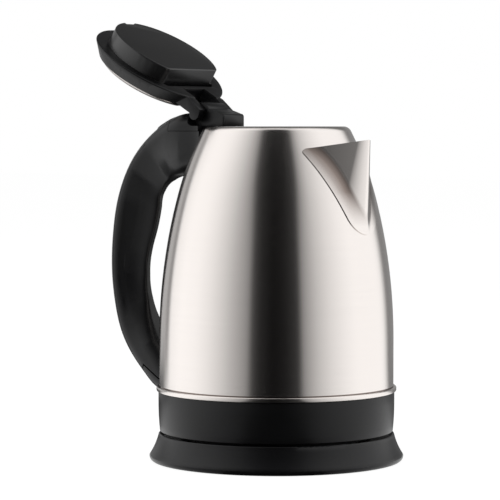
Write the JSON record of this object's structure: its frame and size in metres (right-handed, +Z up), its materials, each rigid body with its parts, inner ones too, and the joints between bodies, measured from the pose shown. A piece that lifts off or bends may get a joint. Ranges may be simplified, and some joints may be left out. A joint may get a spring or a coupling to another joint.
{
  "type": "electric kettle",
  "caption": "Cordless electric kettle: brushed steel jug with a V spout, hollow loop handle and push-button flip lid, standing on a round power base.",
  "frame": {"origin": "on the table, under the axis of the jug and base", "axes": "+Z up, +X towards the spout, -X towards the handle, +Y to the kettle's left side"},
  "size_m": [0.2036, 0.155, 0.2688],
  "materials": {
    "black_plastic": "satin moulded",
    "inner_plastic": "moulded",
    "brushed_steel": "brushed satin",
    "plain_steel": "plain",
    "spring_steel": "drawn wire",
    "aluminium": "rolled",
    "brass": "plain",
    "rubber": "matte"
  },
  "bodies": {
    "power_base": {"base_shell": "black_plastic", "base_floor": "black_plastic", "foot_ring": "rubber", "base_screws": "plain_steel", "base_plug": "inner_plastic", "base_contacts": "brass"},
    "coupler": {"kettle_socket": "inner_plastic", "socket_contacts": "brass"},
    "kettle": {"steel_body": "brushed_steel", "spout": "brushed_steel", "lower_band": "black_plastic", "bottom_cover": "black_plastic", "bottom_screws": "plain_steel", "heater_plate": "brushed_steel", "heater_disc": "aluminium", "heating_element": "plain_steel", "thermostat": "inner_plastic", "thermostat_discs": "brass", "handle_grip": "black_plastic", "handle_back": "black_plastic", "hinge_housing": "black_plastic", "hinge_pin": "plain_steel", "handle_brackets": "plain_steel", "handle_screws": "plain_steel", "steam_tube": "rubber", "steam_switch": "inner_plastic", "switch_pin": "plain_steel", "lever_pin": "plain_steel", "lid_spring": "spring_steel", "button_spring": "spring_steel"},
    "lid": {"lid_cover": "black_plastic", "lid_inner": "black_plastic", "lid_plate": "brushed_steel", "lid_screws": "plain_steel"},
    "button": {"lid_button": "black_plastic"},
    "lever": {"release_lever": "inner_plastic"},
    "switch": {"power_switch": "black_plastic"}
  },
  "joints": [
    {"name": "lift", "type": "slide", "parent": "power_base", "child": "coupler", "axis": [0, 0, 1], "range_m": [0, 0.1]},
    {"name": "swivel", "type": "hinge", "parent": "coupler", "child": "kettle", "pos_m": [0, 0, 0], "axis": [0, 0, 1], "continuous": true},
    {"name": "lid_hinge", "type": "hinge", "parent": "kettle", "child": "lid", "pos_m": [-0.0496, 0, 0.211], "axis": [0, 1, 0], "range_deg": [0, 149], "stiffness_Nm_per_rad": 0.02, "springref_deg": -20.05, "deforming": ["lid_spring"]},
    {"name": "button_press", "type": "slide", "parent": "kettle", "child": "button", "axis": [0, 0, -1], "range_m": [0, 0.0025], "stiffness_N_per_m": 400, "springref_m": -0.001, "deforming": ["button_spring"]},
    {"name": "lever_rock", "type": "hinge", "parent": "kettle", "child": "lever", "pos_m": [-0.062, 0, 0.191], "axis": [0, 1, 0], "range_deg": [-10, 0]},
    {"name": "switch_rock", "type": "hinge", "parent": "kettle", "child": "switch", "pos_m": [-0.08034, 0, 0.04313], "axis": [0, 1, 0], "range_deg": [-7, 0]}
  ],
  "couplings": [
    {"joint": "lever_rock", "follows": "button_press", "rad_per_m": -67}
  ]
}
